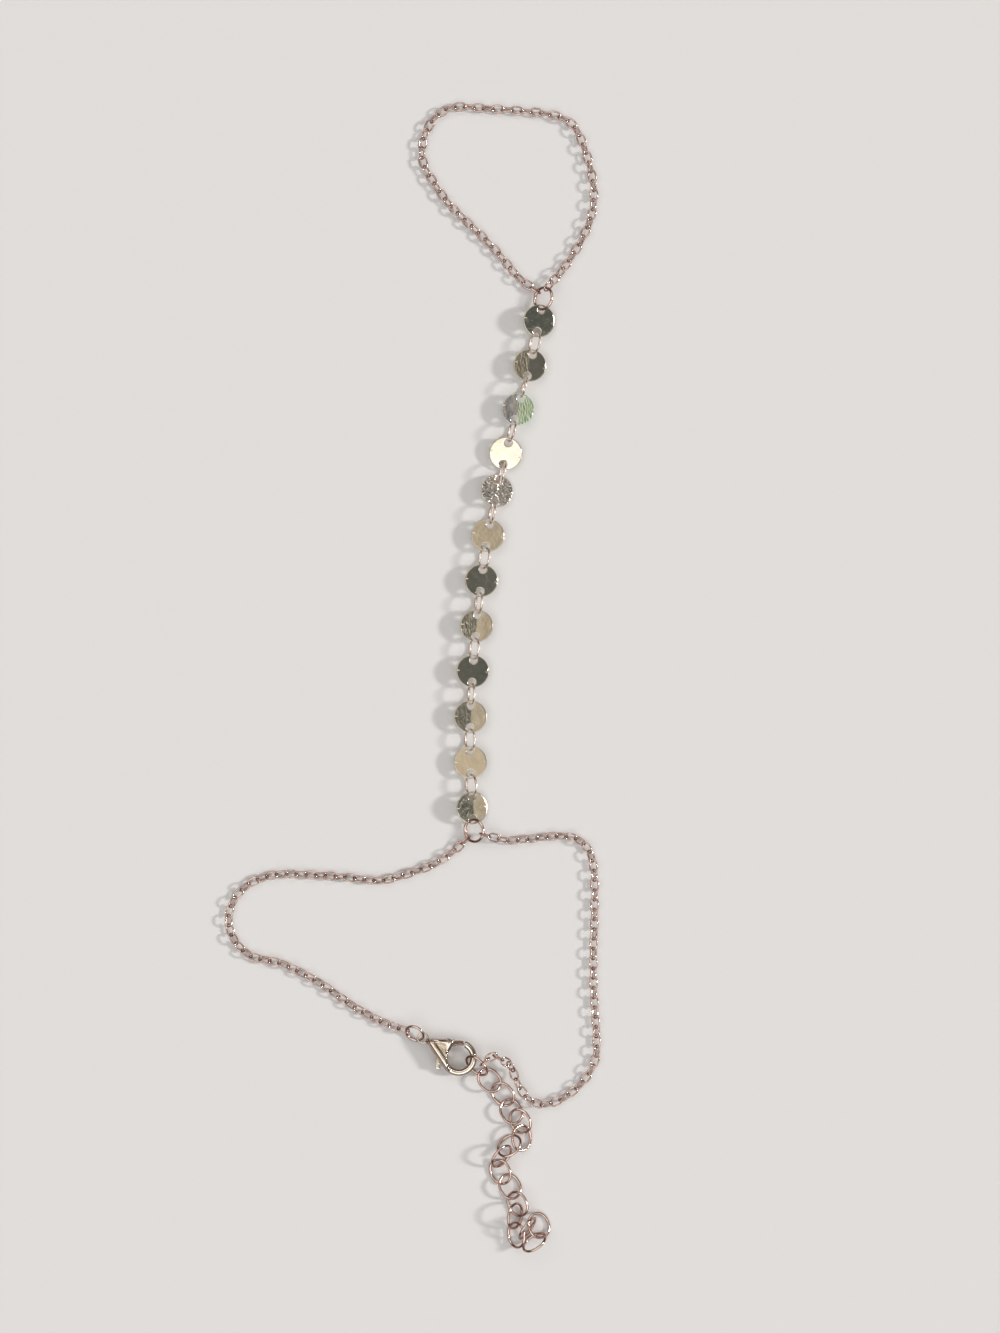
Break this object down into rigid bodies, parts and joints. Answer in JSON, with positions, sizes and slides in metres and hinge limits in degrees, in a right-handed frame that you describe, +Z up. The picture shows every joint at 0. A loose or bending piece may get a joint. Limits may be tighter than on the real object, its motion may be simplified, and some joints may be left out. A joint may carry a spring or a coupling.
{
  "type": "hand chain bracelet",
  "caption": "Fine chain hand bracelet laid flat: finger loop, a line of small round discs on jump rings, and a wrist chain with a lobster clasp and an extender chain.",
  "frame": {"origin": "on the surface that the bracelet lies on, under the middle of its box", "axes": "+Z up from that surface, +Y along the disc line towards the finger loop, +X to the right seen from above"},
  "size_m": [0.0587, 0.1793, 0.0036],
  "materials": {
    "fine_chain_metal": "polished rose gold plate",
    "ring_metal": "polished pale rose gold plate",
    "disc_metal": "mirror polished champagne gold plate",
    "extender_metal": "polished pale rose gold plate",
    "clasp_metal": "polished champagne gold plate"
  },
  "bodies": {
    "bracelet": {"finger_chain": "fine_chain_metal", "finger_ring": "ring_metal", "disc_01": "disc_metal", "disc_02": "disc_metal", "disc_03": "disc_metal", "disc_04": "disc_metal", "disc_05": "disc_metal", "disc_06": "disc_metal", "disc_07": "disc_metal", "disc_08": "disc_metal", "disc_09": "disc_metal", "disc_10": "disc_metal", "disc_11": "disc_metal", "disc_12": "disc_metal", "disc_ring_01": "ring_metal", "disc_ring_02": "ring_metal", "disc_ring_03": "ring_metal", "disc_ring_04": "ring_metal", "disc_ring_05": "ring_metal", "disc_ring_06": "ring_metal", "disc_ring_07": "ring_metal", "disc_ring_08": "ring_metal", "disc_ring_09": "ring_metal", "disc_ring_10": "ring_metal", "disc_ring_11": "ring_metal", "wrist_ring": "ring_metal", "wrist_chain_left": "fine_chain_metal", "wrist_chain_right": "fine_chain_metal", "clasp_ring": "ring_metal", "clasp_body": "clasp_metal", "extender_link_01": "extender_metal", "extender_link_02": "extender_metal", "extender_link_03": "extender_metal", "extender_link_04": "extender_metal", "extender_link_05": "extender_metal", "extender_link_06": "extender_metal", "extender_link_07": "extender_metal", "extender_link_08": "extender_metal", "extender_link_09": "extender_metal", "extender_link_10": "extender_metal", "extender_link_11": "extender_metal", "extender_link_12": "extender_metal", "extender_link_13": "extender_metal", "extender_link_14": "extender_metal", "extender_link_15": "extender_metal", "extender_link_16": "extender_metal"},
    "lever": {"clasp_lever": "clasp_metal"}
  },
  "joints": [
    {"name": "lever_hinge", "type": "hinge", "parent": "bracelet", "child": "lever", "pos_m": [0.00568, -0.05723, 0.00135], "axis": [0, 0, -1], "range_deg": [0, 20], "stiffness_Nm_per_rad": 0.004}
  ]
}
